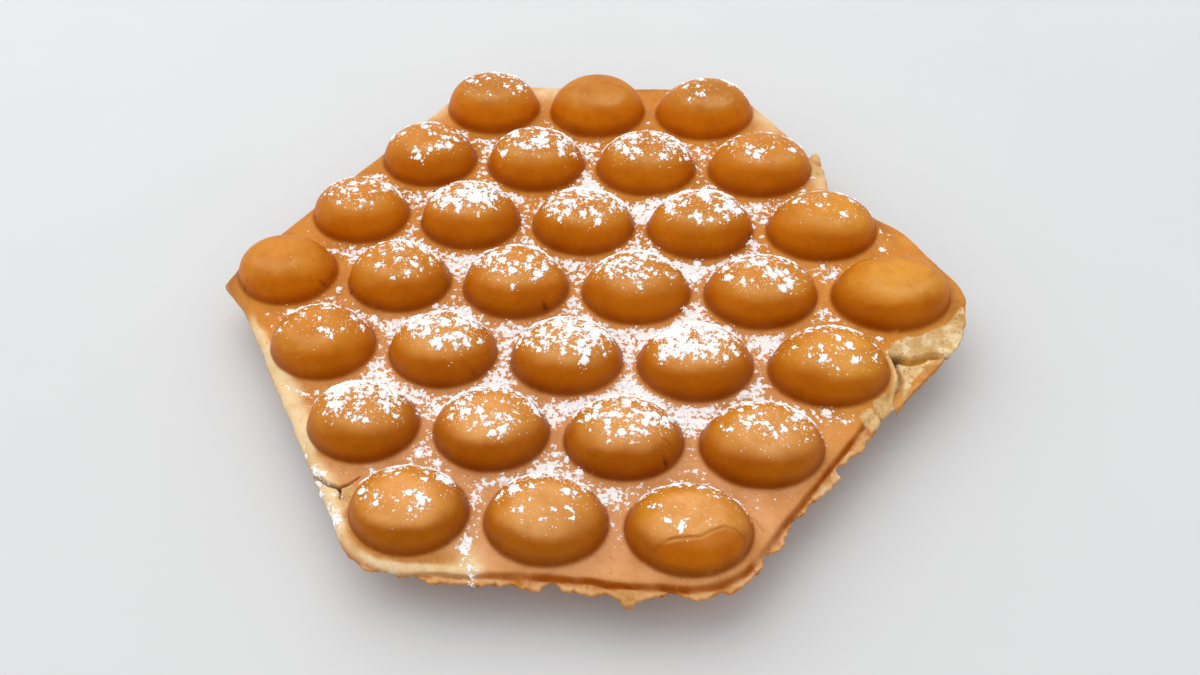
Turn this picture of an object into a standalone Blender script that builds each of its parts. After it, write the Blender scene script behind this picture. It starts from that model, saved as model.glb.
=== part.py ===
"""Bubble waffle: thirty egg-shaped bubbles on a thin six-sided sheet with a ragged rim.

One baked piece, solid all through. +X runs along the rows, +Y runs to the back row, +Z is up.
All sizes are in metres.
"""

import math
import random

import bmesh
import bpy
from mathutils import Matrix, Vector

# Lattice of bubbles: spacing along a row, spacing between rows, bubbles in each row back to front
PITCH = 0.035
ROW_STEP = 0.02625
ROW_COUNTS = (3, 4, 5, 6, 5, 4, 3)
# The batter spread a little towards +X: extra spacing and extra bubble size per pitch
SPREAD = 0.0056
GROWTH = 0.0143

# Bubble: half length along X, half width along Y, height over the sheet on either side. Its side view
# is a superellipse of this power: over 2, the top is flatter and the wall steeper than on an ellipsoid
BUBBLE_A = 0.0156
BUBBLE_B = 0.0127
BUBBLE_RISE = 0.0109
BUBBLE_POWER = 2.4
UPPER_FACETS = (14, 8)
LOWER_FACETS = (12, 6)

# Sheet between the bubbles, thin fin of batter around it, and the chamfer of their edges
SHEET_THICKNESS = 0.0050
FIN_THICKNESS = 0.0020
SHEET_CHAMFER = 0.0009

# Lattice places of the six corner bubbles, counter-clockwise from the right-hand tip
CORNERS = ((2.5, 0), (1, 3), (-1, 3), (-2.5, 0), (-1, -3), (1, -3))
# Width in millimetres from the line that touches the bubbles to the edge, at six even steps of a side
SHEET_MARGINS = (
    (3.8, 4.3, 0.3, 1.4, 2.0, 1.4),
    (1.0, 1.0, 0.9, 0.7, 0.4, 0.3),
    (0.3, 0.2, 0.5, 0.8, 0.4, 0.6),
    (1.5, 1.5, 1.9, 2.3, 2.6, 3.3),
    (3.6, 3.2, 2.0, 1.9, 2.6, 2.2),
    (2.0, 1.9, 1.8, 1.6, 2.8, 5.0),
)
FIN_MARGINS = (
    (4.8, 5.3, 1.0, 2.2, 2.7, 1.9),
    (1.5, 1.5, 1.3, 1.1, 0.8, 0.7),
    (0.6, 0.5, 0.9, 1.1, 0.8, 1.0),
    (1.9, 1.9, 2.4, 2.8, 3.1, 3.8),
    (4.4, 4.8, 4.5, 4.7, 4.9, 4.4),
    (4.0, 3.4, 4.8, 4.6, 3.2, 4.6),
)
# How rough the fin's edge is on each side, in millimetres
RAGGEDNESS = (0.25, 0.25, 0.15, 0.20, 0.65, 0.80)
SHEET_EDGE_STEP = 0.0070
FIN_EDGE_STEP = 0.0045

# Small tear in the back right side: place along the side, half width along it, depth
TEAR_PLACE = 0.50
TEAR_HALF_WIDTH = 0.045
TEAR_DEPTH = 0.0032

# Curl of the sheet: rise in pitches for each product of pitches along X and rows along Y
CURL_ALONG = 0.0089
CURL_ACROSS = 0.0028
CURL_TIP = 0.0011
CURL_TWIST = 0.0010

# Open split at the right-hand tip: middle, size, tilt and turn of the gap between the two skins
SPLIT_CENTRE = (0.0995, -0.0236, -0.0001)
SPLIT_SIZE = (0.0270, 0.0120, 0.0011)
SPLIT_TURNS = (math.radians(-2), 0.0, math.radians(18))
# Lower skin that shows beyond the split
FLAP_THICKNESS = 0.0017
FLAP_Z = -0.0015
FLAP_CORNERS = ((0.0850, -0.0150), (0.0845, -0.0400), (0.0885, -0.0402), (0.0950, -0.0315),
                (0.1020, -0.0228), (0.1050, -0.0170), (0.1010, -0.0120))
# Crack across the rim at the front left
CRACK_CENTRE = (-0.0568, -0.0715, 0.0022)
CRACK_SIZE = (0.0095, 0.0009, 0.0032)
CRACK_TURNS = (0.0, 0.0, math.radians(-14))

# Crumb lumps fused to the edge: centre x, y, z and half sizes x, y, z, in millimetres
LUMPS = (
    (89.5, -17.4, 0.7, 3.9, 2.7, 1.8),
    (94.2, -18.4, 0.6, 3.7, 2.6, 1.9),
    (98.8, -17.8, 0.6, 3.6, 2.8, 1.9),
    (102.2, -15.4, 0.7, 3.0, 3.2, 1.8),
    (104.4, -11.4, 0.8, 2.4, 3.6, 1.7),
    (84.2, -36.6, 0.2, 2.4, 3.6, 1.9),
    (81.2, -41.0, 0.0, 2.7, 2.8, 1.8),
    (70.6, 58.6, 0.2, 1.8, 3.8, 2.1),
    (71.4, 53.0, 0.2, 1.8, 3.4, 2.0),
    (21.6, -96.3, -1.2, 2.2, 2.6, 1.9),
    (-52.0, -75.0, 0.8, 2.6, 3.6, 1.8),
)

# Move that puts the origin under the middle of the piece, on the surface it rests on
MIDDLE = (0.00343, -0.00292)
LIFT = 0.0127

WAFFLE_COLOUR = (0.58, 0.23, 0.055, 1.0)

rng = random.Random(7)


def clear_scene():
    for old in list(bpy.data.objects):
        bpy.data.objects.remove(old, do_unlink=True)


def bubble_size(u):
    return BUBBLE_A * (1 + GROWTH * u), BUBBLE_B


def bubble_centre(u, v):
    return Vector((PITCH * (u + SPREAD * u * u), ROW_STEP * v))


def lattice():
    last = len(ROW_COUNTS) // 2
    for row, count in enumerate(ROW_COUNTS):
        for place in range(count):
            yield place - (count - 1) / 2, last - row


def curl(x, y):
    u = x / PITCH
    v = y / ROW_STEP
    return PITCH * (CURL_ALONG * u * u + CURL_ACROSS * v * v + CURL_TIP * u ** 3 + CURL_TWIST * u * u * v)


def touch_point(corner, angle):
    """Point of the corner bubble's outline whose normal has this angle."""
    a, b = bubble_size(corner[0])
    reach = math.hypot(a * math.cos(angle), b * math.sin(angle))
    offset = Vector((a * a * math.cos(angle), b * b * math.sin(angle))) / reach
    return bubble_centre(*corner) + offset


def side_normal_angle(side):
    start = bubble_centre(*CORNERS[side])
    end = bubble_centre(*CORNERS[(side + 1) % 6])
    along = end - start
    return math.atan2(-along.x, along.y)


def stepped(values, t):
    """Smooth curve through evenly spaced values."""
    place = min(max(t, 0.0), 0.9999) * (len(values) - 1)
    low = int(place)
    part = place - low
    blend = part * part * (3 - 2 * part)
    return values[low] + (values[low + 1] - values[low]) * blend


def rough(distance, phases):
    waves = (0.021, 0.0125, 0.0088)
    weights = (0.45, 0.35, 0.35)
    return sum(w * math.sin(2 * math.pi * distance / wave + p) for w, wave, p in zip(weights, waves, phases))


def edge_outline(margins, ragged, edge_step):
    """Closed outline around the corner bubbles, with the given margins and roughness in millimetres."""
    points = []
    distance = 0.0
    phases = [rng.uniform(0, 2 * math.pi) for _ in range(3)]
    for side in range(6):
        angle = side_normal_angle(side)
        normal = Vector((math.cos(angle), math.sin(angle)))
        start = touch_point(CORNERS[side], angle)
        end = touch_point(CORNERS[(side + 1) % 6], angle)
        length = (end - start).length
        steps = max(2, round(length / edge_step))
        for i in range(steps + 1):
            t = i / steps
            margin = 0.001 * stepped(margins[side], t)
            margin += 0.001 * ragged[side] * rough(distance + length * t, phases)
            if side == 0:
                margin -= TEAR_DEPTH * math.exp(-((t - TEAR_PLACE) / TEAR_HALF_WIDTH) ** 2)
            points.append(start.lerp(end, t) + normal * margin)
        distance += length
        next_side = (side + 1) % 6
        next_angle = side_normal_angle(next_side)
        turn = (next_angle - angle) % (2 * math.pi)
        radius = BUBBLE_B + 0.001 * margins[side][-1]
        arc_steps = max(3, round(radius * turn / edge_step))
        for i in range(1, arc_steps):
            t = i / arc_steps
            bearing = angle + turn * t
            margin = 0.001 * (margins[side][-1] + (margins[next_side][0] - margins[side][-1]) * t)
            margin += 0.001 * ragged[side] * rough(distance + radius * turn * t, phases) * (1 - t)
            outward = Vector((math.cos(bearing), math.sin(bearing)))
            points.append(touch_point(CORNERS[next_side], bearing) + outward * margin)
        distance += radius * turn
    return points


def plate(name, outline, thickness, chamfer, z):
    """Flat plate of the given outline, made a closed mesh."""
    curve = bpy.data.curves.new(name, "CURVE")
    curve.dimensions = "2D"
    curve.fill_mode = "BOTH"
    curve.bevel_depth = chamfer
    curve.bevel_resolution = 0
    curve.offset = -chamfer
    curve.extrude = thickness / 2 - chamfer
    spline = curve.splines.new("POLY")
    spline.points.add(len(outline) - 1)
    for point, place in zip(spline.points, outline):
        point.co = (place[0], place[1], 0.0, 1.0)
    spline.use_cyclic_u = True
    outline_object = bpy.data.objects.new(name + "_outline", curve)
    outline_object.location.z = z
    bpy.context.scene.collection.objects.link(outline_object)
    bpy.context.view_layer.update()
    evaluated = outline_object.evaluated_get(bpy.context.evaluated_depsgraph_get())
    mesh = bpy.data.meshes.new_from_object(evaluated)
    bm = bmesh.new()
    bm.from_mesh(mesh)
    bmesh.ops.remove_doubles(bm, verts=bm.verts, dist=0.00002)
    bmesh.ops.recalc_face_normals(bm, faces=bm.faces)
    bm.to_mesh(mesh)
    bm.free()
    result = bpy.data.objects.new(name, mesh)
    result.matrix_world = outline_object.matrix_world
    bpy.data.objects.remove(outline_object, do_unlink=True)
    return result


def ball_mesh(name, segments, rings, lower_part=1.0, power=2.0):
    """Ball of unit radius with a superellipse as its side view, whose lower half can be pressed flat."""
    bm = bmesh.new()
    bmesh.ops.create_uvsphere(bm, u_segments=segments, v_segments=rings, radius=1.0)
    for vertex in bm.verts:
        reach = math.hypot(vertex.co.x, vertex.co.y)
        if reach > 1e-6:
            vertex.co.xy *= reach ** (2 / power - 1)
        vertex.co.z = math.copysign(abs(vertex.co.z) ** (2 / power), vertex.co.z)
        if vertex.co.z < 0:
            vertex.co.z *= lower_part
    mesh = bpy.data.meshes.new(name)
    bm.to_mesh(mesh)
    bm.free()
    return mesh


def placed(name, mesh, centre, half_sizes, turns, collection):
    """A ball stretched to its half sizes, with the scale applied."""
    own = mesh.copy()
    own.transform(Matrix.Diagonal((*half_sizes, 1.0)))
    ball = bpy.data.objects.new(name, own)
    ball.location = centre
    ball.rotation_euler = turns
    collection.objects.link(ball)
    return ball


def block(name, centre, size, turns, collection):
    """A cutter block of the given size."""
    bm = bmesh.new()
    bmesh.ops.create_cube(bm, size=1.0, matrix=Matrix.Diagonal((*size, 1.0)))
    mesh = bpy.data.meshes.new(name)
    bm.to_mesh(mesh)
    bm.free()
    cutter = bpy.data.objects.new(name, mesh)
    cutter.location = centre
    cutter.rotation_euler = turns
    cutter.hide_render = True
    cutter.display_type = "WIRE"
    collection.objects.link(cutter)


def boolean(target, collection, operation):
    modifier = target.modifiers.new(operation.lower(), "BOOLEAN")
    modifier.operation = operation
    modifier.operand_type = "COLLECTION"
    modifier.collection = collection
    modifier.solver = "EXACT"
    bpy.context.view_layer.update()
    evaluated = target.evaluated_get(bpy.context.evaluated_depsgraph_get())
    result = bpy.data.meshes.new_from_object(evaluated)
    target.modifiers.remove(modifier)
    target.data = result
    for used in list(collection.objects):
        bpy.data.objects.remove(used, do_unlink=True)
    bpy.data.collections.remove(collection)


def drop_scraps(bm):
    """Keep the largest body, without the crumbs that the cuts leave loose."""
    left = set(bm.verts)
    bodies = []
    while left:
        front = [left.pop()]
        body = list(front)
        while front:
            vertex = front.pop()
            for edge in vertex.link_edges:
                other = edge.other_vert(vertex)
                if other in left:
                    left.remove(other)
                    front.append(other)
                    body.append(other)
        bodies.append(body)
    bodies.sort(key=len)
    scraps = [vertex for body in bodies[:-1] for vertex in body]
    bmesh.ops.delete(bm, geom=scraps, context="VERTS")


def finish_mesh(mesh):
    """Curl the sheet, set it down on its lowest bubbles and flatten where they touch."""
    bm = bmesh.new()
    bm.from_mesh(mesh)
    drop_scraps(bm)
    for vertex in bm.verts:
        vertex.co.z += curl(vertex.co.x, vertex.co.y) + LIFT
        vertex.co.x -= MIDDLE[0]
        vertex.co.y -= MIDDLE[1]
    everything = bm.verts[:] + bm.edges[:] + bm.faces[:]
    cut = bmesh.ops.bisect_plane(bm, geom=everything, dist=1e-7, plane_co=(0, 0, 0), plane_no=(0, 0, -1),
                                 clear_outer=True)
    rims = [e for e in cut["geom_cut"] if isinstance(e, bmesh.types.BMEdge)]
    bmesh.ops.holes_fill(bm, edges=rims, sides=0)
    bmesh.ops.remove_doubles(bm, verts=bm.verts, dist=0.00001)
    bmesh.ops.recalc_face_normals(bm, faces=bm.faces)
    bm.to_mesh(mesh)
    bm.free()


def crust_material():
    material = bpy.data.materials.new("crust")
    material.use_nodes = True
    shader = material.node_tree.nodes["Principled BSDF"]
    shader.inputs["Base Color"].default_value = WAFFLE_COLOUR
    shader.inputs["Roughness"].default_value = 0.45
    shader.inputs["Metallic"].default_value = 0.0
    return material


def build():
    clear_scene()
    scene = bpy.context.scene
    parts = bpy.data.collections.new("bubble_waffle")
    scene.collection.children.link(parts)
    joined = bpy.data.collections.new("joined")
    scene.collection.children.link(joined)

    # Sheet, and the fin of batter that leaked between the two halves of the pan
    sheet_edge = edge_outline(SHEET_MARGINS, (0.1,) * 6, SHEET_EDGE_STEP)
    waffle = plate("waffle", sheet_edge, SHEET_THICKNESS, SHEET_CHAMFER, 0.0)
    parts.objects.link(waffle)
    fin = plate("fin", edge_outline(FIN_MARGINS, RAGGEDNESS, FIN_EDGE_STEP), FIN_THICKNESS, 0.0, 0.0)
    joined.objects.link(fin)
    flap = plate("flap", FLAP_CORNERS[::-1], FLAP_THICKNESS, 0.0, FLAP_Z)
    joined.objects.link(flap)

    # Bubbles stand out on both faces of the sheet
    upper = ball_mesh("upper", *UPPER_FACETS, lower_part=0.1, power=BUBBLE_POWER)
    lower = ball_mesh("lower", *LOWER_FACETS, lower_part=0.1, power=BUBBLE_POWER)
    half_height = BUBBLE_RISE + SHEET_THICKNESS / 2
    for number, (u, v) in enumerate(lattice()):
        a, b = bubble_size(u)
        centre = (*bubble_centre(u, v), 0.0)
        placed(f"upper_{number:02d}", upper, centre, (a, b, half_height), (0, 0, 0), joined)
        placed(f"lower_{number:02d}", lower, centre, (a, b, half_height), (math.pi, 0, 0), joined)

    # Lumps of crumb on the torn edge and the drip at the front
    small = ball_mesh("small", 8, 4)
    for number, (x, y, z, a, b, c) in enumerate(LUMPS):
        centre = (0.001 * x, 0.001 * y, 0.001 * z)
        half = (0.001 * a, 0.001 * b, 0.001 * c)
        placed(f"lump_{number:02d}", small, centre, half, (0, 0, 0.35 * number), joined)
    boolean(waffle, joined, "UNION")

    # Open split between the skins at the right-hand tip, and the crack at the front left
    cutters = bpy.data.collections.new("cutters")
    scene.collection.children.link(cutters)
    block("split", SPLIT_CENTRE, SPLIT_SIZE, SPLIT_TURNS, cutters)
    block("crack", CRACK_CENTRE, CRACK_SIZE, CRACK_TURNS, cutters)
    boolean(waffle, cutters, "DIFFERENCE")

    finish_mesh(waffle.data)
    waffle.name = "waffle"
    waffle.data.name = "waffle"
    waffle.data.materials.clear()
    waffle.data.materials.append(crust_material())
    waffle.data.shade_smooth()
    waffle.data.set_sharp_from_angle(angle=math.radians(40))


build()
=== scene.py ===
"""Bubble waffle with powdered sugar: the fine crust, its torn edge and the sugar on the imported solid."""

import math
import random

import bmesh
import bpy
import numpy as np
from mathutils import Matrix, Vector
from mathutils.bvhtree import BVHTree
from mathutils.geometry import delaunay_2d_cdt


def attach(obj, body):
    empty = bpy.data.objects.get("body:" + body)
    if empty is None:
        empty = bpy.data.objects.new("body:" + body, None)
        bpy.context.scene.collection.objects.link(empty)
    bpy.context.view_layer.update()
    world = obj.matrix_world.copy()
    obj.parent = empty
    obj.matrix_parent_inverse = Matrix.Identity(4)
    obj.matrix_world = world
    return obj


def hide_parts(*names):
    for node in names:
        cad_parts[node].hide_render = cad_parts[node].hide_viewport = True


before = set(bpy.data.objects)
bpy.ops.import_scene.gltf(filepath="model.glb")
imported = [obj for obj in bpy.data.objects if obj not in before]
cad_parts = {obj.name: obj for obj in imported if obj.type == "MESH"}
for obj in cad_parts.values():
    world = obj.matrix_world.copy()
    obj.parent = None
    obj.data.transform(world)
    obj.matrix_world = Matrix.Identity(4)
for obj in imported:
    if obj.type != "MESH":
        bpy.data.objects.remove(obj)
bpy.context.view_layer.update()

MM = 0.001

# Form of the waffle in millimetres, as in the solid
PITCH = 35.0
ROW_STEP = 26.25
ROW_COUNTS = (3, 4, 5, 6, 5, 4, 3)
SPREAD = 0.0056
GROWTH = 0.0143
BUBBLE_A = 15.6
BUBBLE_B = 12.7
BUBBLE_RISE = 10.9
BUBBLE_POWER = 2.4
SHEET_HALF = 2.5
FIN_HALF = 1.0
CORNERS = ((2.5, 0), (1, 3), (-1, 3), (-2.5, 0), (-1, -3), (1, -3))
SHEET_MARGINS = (
    (3.8, 4.3, 0.3, 1.4, 2.0, 1.4),
    (1.0, 1.0, 0.9, 0.7, 0.4, 0.3),
    (0.3, 0.2, 0.5, 0.8, 0.4, 0.6),
    (1.5, 1.5, 1.9, 2.3, 2.6, 3.3),
    (3.6, 3.2, 2.0, 1.9, 2.6, 2.2),
    (2.0, 1.9, 1.8, 1.6, 2.8, 5.0),
)
FIN_MARGINS = (
    (4.8, 5.3, 1.0, 2.2, 2.7, 1.9),
    (1.5, 1.5, 1.3, 1.1, 0.8, 0.7),
    (0.6, 0.5, 0.9, 1.1, 0.8, 1.0),
    (1.9, 1.9, 2.4, 2.8, 3.1, 3.8),
    (4.4, 4.8, 4.5, 4.7, 4.9, 4.4),
    (4.0, 3.4, 4.8, 4.6, 3.2, 4.6),
)
RAGGEDNESS = (0.25, 0.25, 0.15, 0.20, 0.65, 0.80)
TEAR_PLACE, TEAR_HALF_WIDTH, TEAR_DEPTH = 0.50, 0.045, 3.2
CURL_ALONG, CURL_ACROSS, CURL_TIP, CURL_TWIST = 0.0089, 0.0028, 0.0011, 0.0010
MIDDLE = (3.43, -2.92)
LIFT = 12.7
# Crumb lumps on the torn edge, as in the solid: centre x, y, z and half sizes x, y, z. The first few are
# at the split tip, where the upper face has a crumb slope of its own
TIP_LUMPS = 5
LUMPS = (
    (89.5, -17.4, 0.7, 3.9, 2.7, 1.8),
    (94.2, -18.4, 0.6, 3.7, 2.6, 1.9),
    (98.8, -17.8, 0.6, 3.6, 2.8, 1.9),
    (102.2, -15.4, 0.7, 3.0, 3.2, 1.8),
    (104.4, -11.4, 0.8, 2.4, 3.6, 1.7),
    (84.2, -36.6, 0.2, 2.4, 3.6, 1.9),
    (81.2, -41.0, 0.0, 2.7, 2.8, 1.8),
    (70.6, 58.6, 0.2, 1.8, 3.8, 2.1),
    (71.4, 53.0, 0.2, 1.8, 3.4, 2.0),
    (21.6, -96.3, -1.2, 2.2, 2.6, 1.9),
    (-52.0, -75.0, 0.8, 2.6, 3.6, 1.8),
)
# Torn tip: top and foot of the crumb slope above the split, ridge of the upper skin's torn side,
# outer edge of the lower skin and the inner border of its browned strip
SLOPE_TOP = ((86.6, -18.6), (89.7, -14.9), (92.4, -13.8), (95.7, -13.3), (99.8, -10.9), (103.5, -8.6),
             (107.6, -3.4))
SLOPE_FOOT = ((87.4, -19.7), (90.3, -18.9), (93.2, -20.0), (96.6, -18.2), (98.9, -17.5), (101.4, -18.2),
              (103.3, -18.4), (105.5, -16.2), (107.3, -12.3), (108.8, -7.0))
RIDGE = ((87.2, -19.9), (88.3, -23.7), (88.8, -25.8), (89.0, -28.3), (88.0, -31.7), (87.1, -35.8))
SKIN_EDGE = ((103.2, -17.2), (102.2, -18.9), (100.2, -22.4), (97.6, -24.7), (95.0, -28.2), (92.5, -31.3),
             (90.7, -33.9), (88.6, -37.4))
STRIP = ((101.6, -18.2), (97.2, -21.1), (95.4, -23.7), (93.5, -27.1), (91.5, -32.2), (90.0, -35.0))
INNER_RIDGE = ((89.9, -21.7), (90.4, -25.1), (91.5, -27.6), (90.7, -32.2))
CREVICE = ((89.1, -21.2), (90.0, -24.7), (90.0, -28.1), (89.0, -31.4), (88.3, -34.3))
SKIN_BEYOND = ((105.0, -18.0), (103.6, -20.2), (101.6, -23.6), (98.8, -26.0), (96.2, -29.4), (93.6, -32.6),
               (91.8, -35.2), (89.4, -38.8))
GAP = ((88.0, -20.5), (90.4, -19.7), (92.8, -20.4), (96.1, -19.4), (98.4, -18.5), (101.4, -18.3))
SKIN_TOP, SKIN_MIDDLE = -0.6, -1.5
# Cracks in the sheet: course, width at its start and end, depth
CRACKS = (
    (((-63.5, -68.2), (-60.6, -69.6), (-57.4, -71.6), (-54.5, -72.4), (-51.9, -71.1), (-49.6, -68.8)),
     0.62, 0.12, 2.8),
    (((-54.5, -72.4), (-53.6, -73.8), (-53.2, -76.0)), 0.42, 0.15, 1.5),
    (((67.4, -54.6), (69.0, -55.9), (71.6, -58.4)), 0.14, 0.2, 0.3),
    (((50.2, -73.2), (51.6, -74.4), (53.2, -77.0)), 0.14, 0.2, 0.3),
)
# Folds left by the flowing batter on a bubble: lattice row and place, course in half sizes, width, depth
# and how dark its line is
FOLDS = (
    (6, 2, ((-0.42, -0.62), (-0.24, -0.55), (-0.05, -0.52), (0.15, -0.49), (0.34, -0.34), (0.52, -0.22),
            (0.70, -0.22), (0.82, -0.32), (0.84, -0.46), (0.74, -0.62), (0.62, -0.74)), 0.36, 0.28, 0.62),
    (6, 2, ((-0.42, -0.62), (-0.53, -0.70), (-0.50, -0.80), (-0.36, -0.88)), 0.32, 0.14, 0.35),
    (6, 2, ((0.26, -0.93), (0.40, -0.90)), 0.35, 0.25, 0.5),
    (3, 5, ((-0.93, -0.12), (-0.75, -0.30), (-0.52, -0.30), (-0.29, -0.22), (0.05, -0.30), (0.30, -0.36)),
     0.9, 0.16, 0.10),
    (3, 5, ((-0.90, -0.34), (-0.80, -0.52), (-0.56, -0.70), (-0.25, -0.80)), 0.5, 0.16, 0.22),
    (3, 5, ((0.15, -0.10), (0.45, 0.04), (0.70, 0.12)), 0.8, 0.14, 0.12),
    (3, 5, ((0.10, -0.22), (0.40, -0.12), (0.66, -0.04)), 0.6, 0.10, 0.15),
    (4, 0, ((-0.73, -0.50), (-0.55, -0.66), (-0.35, -0.74), (-0.10, -0.72)), 0.5, 0.10, 0.15),
    (4, 0, ((-0.62, -0.64), (-0.40, -0.80), (-0.01, -0.88), (0.30, -0.80)), 0.5, 0.12, 0.18),
    (6, 0, ((-0.80, -0.30), (-0.48, -0.42), (-0.04, -0.52), (0.35, -0.52)), 0.7, 0.10, 0.10),
    (6, 1, ((-0.62, -0.74), (-0.15, -0.91), (0.31, -0.87), (0.70, -0.62)), 0.4, 0.14, 0.15),
    (4, 4, ((-0.35, -0.32), (0.01, -0.17), (0.25, -0.10), (0.60, -0.04)), 0.4, 0.12, 0.15),
    (5, 2, ((0.60, -0.30), (0.80, -0.38), (0.84, -0.52), (0.70, -0.68)), 0.34, 0.20, 0.35),
    (0, 1, ((-0.50, -0.12), (-0.20, -0.02), (0.20, 0.00), (0.45, -0.10), (0.42, -0.36), (0.10, -0.50)),
     1.3, 0.28, 0.0),
    (0, 2, ((-0.35, -0.25), (-0.05, -0.02), (0.30, -0.05), (0.46, -0.22), (0.24, -0.46)), 1.3, 0.28, 0.0),
)
# The darker front of the front right bubble, below its fold, in half sizes
FLOW = ((-0.42, -0.62), (-0.05, -0.52), (0.15, -0.49), (0.34, -0.34), (0.52, -0.22), (0.70, -0.22),
        (0.82, -0.32), (0.84, -0.46), (0.74, -0.64), (0.50, -0.84), (0.10, -0.96), (-0.36, -0.90),
        (-0.55, -0.76))
# Small pits near a bubble's foot: row, place, place in half sizes, half sizes and depth in millimetres
PITS = (
    (5, 2, 0.70, -0.62, 0.85, 0.60, 0.9),
    (3, 2, 0.62, -0.73, 0.95, 0.50, 0.8),
    (3, 1, -0.88, -0.50, 0.95, 0.50, 0.6),
    (2, 3, 0.93, -0.32, 0.70, 0.80, 0.8),
    (3, 0, -0.70, -0.66, 0.75, 0.45, 0.5),
    (3, 0, 0.83, -0.42, 0.90, 0.50, 0.5),
    (5, 2, -0.40, -0.72, 0.50, 0.40, 0.25),
    (4, 1, 0.66, -0.66, 0.70, 0.45, 0.4),
)

rng = random.Random(7)
dice = np.random.default_rng(11)


# Form functions, in millimetres in the lattice's own frame

def bubble_size(u):
    return BUBBLE_A * (1 + GROWTH * u), BUBBLE_B


def bubble_centre(u, v):
    return PITCH * (u + SPREAD * u * u), ROW_STEP * v


def lattice():
    last = len(ROW_COUNTS) // 2
    for row, count in enumerate(ROW_COUNTS):
        for place in range(count):
            yield place - (count - 1) / 2, last - row


def curl(x, y):
    u = x / PITCH
    v = y / ROW_STEP
    return PITCH * (CURL_ALONG * u * u + CURL_ACROSS * v * v + CURL_TIP * u ** 3 + CURL_TWIST * u * u * v)


def touch_point(corner, angle):
    a, b = bubble_size(corner[0])
    reach = math.hypot(a * math.cos(angle), b * math.sin(angle))
    x, y = bubble_centre(*corner)
    return np.array((x + a * a * math.cos(angle) / reach, y + b * b * math.sin(angle) / reach))


def side_normal_angle(side):
    x0, y0 = bubble_centre(*CORNERS[side])
    x1, y1 = bubble_centre(*CORNERS[(side + 1) % 6])
    return math.atan2(x0 - x1, y1 - y0)


def stepped(values, t):
    place = min(max(t, 0.0), 0.9999) * (len(values) - 1)
    low = int(place)
    part = place - low
    return values[low] + (values[low + 1] - values[low]) * part * part * (3 - 2 * part)


def rough(distance, phases):
    waves = (21.0, 12.5, 8.8)
    weights = (0.45, 0.35, 0.35)
    return sum(w * math.sin(2 * math.pi * distance / wave + p) for w, wave, p in zip(weights, waves, phases))


def edge_outline(margins, ragged, step):
    """Closed outline as an array of points, counter-clockwise."""
    points = []
    distance = 0.0
    phases = [rng.uniform(0, 2 * math.pi) for _ in range(3)]
    for side in range(6):
        angle = side_normal_angle(side)
        normal = np.array((math.cos(angle), math.sin(angle)))
        start = touch_point(CORNERS[side], angle)
        end = touch_point(CORNERS[(side + 1) % 6], angle)
        length = float(np.hypot(*(end - start)))
        steps = max(2, round(length / step))
        for i in range(steps + 1):
            t = i / steps
            margin = stepped(margins[side], t) + ragged[side] * rough(distance + length * t, phases)
            if side == 0:
                margin -= TEAR_DEPTH * math.exp(-((t - TEAR_PLACE) / TEAR_HALF_WIDTH) ** 2)
            points.append(start + (end - start) * t + normal * margin)
        distance += length
        next_side = (side + 1) % 6
        turn = (side_normal_angle(next_side) - angle) % (2 * math.pi)
        radius = BUBBLE_B + margins[side][-1]
        arc_steps = max(3, round(radius * turn / step))
        for i in range(1, arc_steps):
            t = i / arc_steps
            bearing = angle + turn * t
            margin = margins[side][-1] + (margins[next_side][0] - margins[side][-1]) * t
            margin += ragged[side] * rough(distance + radius * turn * t, phases) * (1 - t)
            outward = np.array((math.cos(bearing), math.sin(bearing)))
            points.append(touch_point(CORNERS[next_side], bearing) + outward * margin)
        distance += radius * turn
    return np.array(points)


def even_spacing(loop, step):
    """The same closed outline with evenly spaced points."""
    closed = np.vstack([loop, loop[:1]])
    lengths = np.hypot(*np.diff(closed, axis=0).T)
    keep = np.concatenate([[True], lengths[:-1] > 1e-4])
    loop = loop[keep]
    closed = np.vstack([loop, loop[:1]])
    run = np.concatenate([[0], np.cumsum(np.hypot(*np.diff(closed, axis=0).T))])
    places = np.linspace(0, run[-1], int(run[-1] / step), endpoint=False)
    return np.stack([np.interp(places, run, closed[:, k]) for k in (0, 1)], 1)


def inset(loop, amount):
    """Points of the outline moved inwards by an amount for each."""
    along = np.roll(loop, -1, 0) - np.roll(loop, 1, 0)
    along /= np.hypot(*along.T)[:, None] + 1e-9
    inwards = np.stack([-along[:, 1], along[:, 0]], 1)
    return loop + inwards * np.asarray(amount)[..., None]


def edge_distance(points, loop):
    """Distance to a closed outline, positive inside."""
    start = loop
    span = np.roll(loop, -1, 0) - loop
    square = (span ** 2).sum(1) + 1e-12
    rise = np.where(np.abs(span[:, 1]) < 1e-9, 1e-9, span[:, 1])
    out = np.empty(len(points))
    for low in range(0, len(points), 4000):
        p = points[low:low + 4000]
        rel = p[:, None, :] - start[None]
        t = np.clip((rel * span[None]).sum(-1) / square[None], 0, 1)
        gap = rel - span[None] * t[..., None]
        near = np.sqrt((gap ** 2).sum(-1).min(1))
        above = start[:, 1] - p[:, None, 1]
        crosses = (above > 0) != (above + span[:, 1] > 0)
        ahead = span[:, 0] * (-above / rise) - rel[..., 0]
        inside = (crosses & (ahead > 0)).sum(1) % 2 == 1
        out[low:low + 4000] = np.where(inside, near, -near)
    return out


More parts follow.
